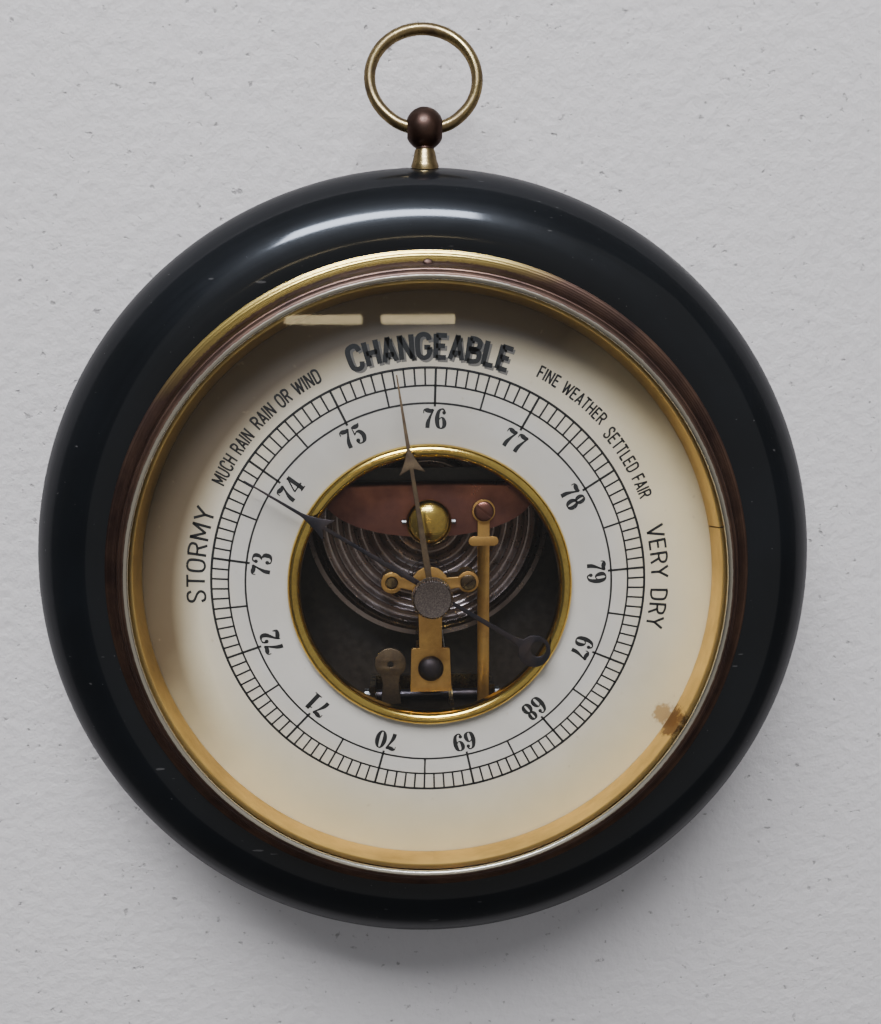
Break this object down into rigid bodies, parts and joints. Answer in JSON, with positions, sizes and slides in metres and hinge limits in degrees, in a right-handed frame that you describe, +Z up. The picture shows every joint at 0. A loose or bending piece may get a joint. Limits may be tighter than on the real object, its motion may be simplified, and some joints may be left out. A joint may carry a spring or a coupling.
{
  "type": "aneroid barometer",
  "caption": "Round wall-hung aneroid barometer in a black turned-wood case with a brass bezel, an open dial showing the movement, an indicator hand, a set hand and a hanging ring.",
  "frame": {"origin": "centre of the back face, where it lies on the wall, on the axis of the dial's hands", "axes": "+Y into the wall, so the dial faces -Y; +Z up, towards the hanging ring; +X to the reader's right"},
  "size_m": [0.1766, 0.0422, 0.2061],
  "materials": {
    "ebonised_wood": "ebonised and French polished",
    "lacquered_brass": "lacquered, with a brown patina",
    "polished_brass": "polished",
    "aged_brass": "dark patina",
    "gilt": "gilt, satin",
    "clear_glass": "clear, bevelled edge",
    "printed_card": "printed card, matt",
    "blued_steel": "blued",
    "polished_steel": "polished",
    "bronzed_steel": "bronzed",
    "capsule_metal": "dull silvered, tarnished",
    "black_paint": "black, satin",
    "drum_steel": "tinned"
  },
  "bodies": {
    "case": {"back_cover": "black_paint", "back_cover_screw_1": "polished_brass", "back_cover_screw_2": "polished_brass", "back_cover_screw_3": "polished_brass", "base_plate": "black_paint", "bezel": "lacquered_brass", "bezel_screw": "aged_brass", "bridge_screw_left": "polished_steel", "bridge_screw_right": "polished_steel", "capsule_cup": "capsule_metal", "capsule_diaphragm": "capsule_metal", "case_drum": "drum_steel", "dial_plate": "printed_card", "dial_window_ring": "polished_brass", "ear_pillar_left": "aged_brass", "ear_pillar_right": "aged_brass", "ear_screw": "polished_steel", "foot_screw": "blued_steel", "glass": "clear_glass", "glass_bush": "polished_brass", "hairspring": "blued_steel", "hairspring_stud": "polished_brass", "hanger_stem": "aged_brass", "lower_cock": "aged_brass", "lower_foot_pillar": "aged_brass", "mainspring": "bronzed_steel", "movement_screw_1": "polished_steel", "movement_screw_2": "polished_steel", "movement_screw_3": "polished_steel", "pivot_screw_left": "polished_steel", "pivot_screw_right": "polished_steel", "shaft_carrier": "aged_brass", "sight_ring": "gilt", "spring_bridge": "black_paint", "upper_cock": "polished_brass", "upper_foot_pillar": "aged_brass", "wood_frame": "ebonised_wood"},
    "ring": {"hanging_ring": "aged_brass"},
    "indicator": {"indicator_hand": "blued_steel", "hand_arbor": "polished_steel", "chain_drum": "polished_brass", "hairspring_collet": "polished_brass"},
    "set_hand": {"set_hand": "aged_brass", "set_arbor": "polished_brass", "set_knob": "aged_brass", "knob_washer": "polished_brass"},
    "adjuster": {"adjusting_screw": "polished_brass"},
    "lever": {"lever_arm": "polished_brass", "lever_screw": "aged_brass", "capsule_post": "polished_steel", "dome_nut": "polished_brass", "cross_pin": "polished_steel"},
    "link": {"connecting_link": "polished_steel"},
    "rocker": {"rocking_shaft": "blued_steel", "crank_arm": "aged_brass", "chain_arm": "aged_brass", "counterweight": "aged_brass"},
    "chain": {"chain": "polished_steel"}
  },
  "joints": [
    {"name": "indicator_turn", "type": "hinge", "parent": "case", "child": "indicator", "pos_m": [0, -0.0225, 0], "axis": [0, 1, 0], "range_deg": [-189.3, 143], "stiffness_Nm_per_rad": 0.0003, "deforming": ["hairspring"]},
    {"name": "lever_flex", "type": "hinge", "parent": "case", "child": "lever", "pos_m": [0, -0.0196, 0.0214], "axis": [1, 0, 0], "range_deg": [-2.03, 1.54], "deforming": ["mainspring", "capsule_diaphragm"]},
    {"name": "rocker_turn", "type": "hinge", "parent": "case", "child": "rocker", "pos_m": [0, -0.0145, -0.0285], "axis": [1, 0, 0], "range_deg": [-22.5, 17]},
    {"name": "link_tilt", "type": "hinge", "parent": "lever", "child": "link", "pos_m": [0.0123, -0.0211, -0.0334], "axis": [1, 0, 0], "range_deg": [-1.54, 2.03]},
    {"name": "chain_slide", "type": "slide", "parent": "case", "child": "chain", "axis": [0, 0, 1], "range_m": [-0.00237, 0.00314]},
    {"name": "set_hand_turn", "type": "hinge", "parent": "case", "child": "set_hand", "pos_m": [0, -0.0376, 0], "axis": [0, 1, 0], "continuous": true},
    {"name": "adjuster_turn", "type": "hinge", "parent": "case", "child": "adjuster", "pos_m": [0, -0.0018, 0.0138], "axis": [0, 1, 0], "range_deg": [-180, 180]},
    {"name": "ring_swing", "type": "hinge", "parent": "case", "child": "ring", "pos_m": [0, -0.019, 0.0953], "axis": [1, 0, 0], "range_deg": [-75, 120]}
  ],
  "couplings": [
    {"joint": "lever_flex", "follows": "indicator_turn", "ratio": 0.010618},
    {"joint": "rocker_turn", "follows": "indicator_turn", "ratio": 0.11875},
    {"joint": "link_tilt", "follows": "indicator_turn", "ratio": -0.010618},
    {"joint": "chain_slide", "follows": "indicator_turn", "m_per_rad": -0.00095}
  ]
}
